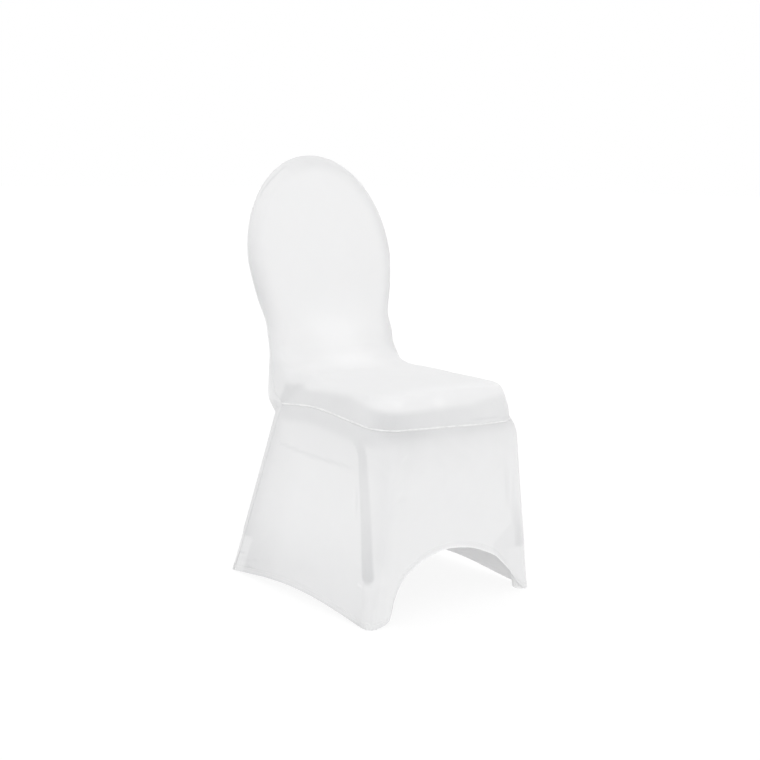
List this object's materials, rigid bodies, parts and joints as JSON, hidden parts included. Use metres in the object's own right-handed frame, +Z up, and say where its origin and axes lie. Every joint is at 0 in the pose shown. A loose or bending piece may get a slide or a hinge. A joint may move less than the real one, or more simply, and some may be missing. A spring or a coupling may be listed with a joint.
{
  "type": "chair cover",
  "caption": "Fitted stretch cover for a round-backed chair: a hood, a padded seat top, and a skirt with an arched front hem and closed foot pockets.",
  "frame": {"origin": "the middle of the bounding box's base, on the floor between the four feet", "axes": "+Z up, the front of the seat faces -Y, +X to the sitter's left"},
  "size_m": [0.4638, 0.5427, 0.9438],
  "materials": {
    "cover_cloth": "matt white stretch knit",
    "foot_pocket_cloth": "doubled matt white stretch knit"
  },
  "bodies": {
    "root": {"seat_and_inner_back": "cover_cloth", "outer_back": "cover_cloth", "skirt": "cover_cloth", "foot_pocket_front_left": "foot_pocket_cloth", "foot_pocket_front_right": "foot_pocket_cloth", "foot_pocket_rear_left": "foot_pocket_cloth", "foot_pocket_rear_right": "foot_pocket_cloth"}
  },
  "joints": []
}
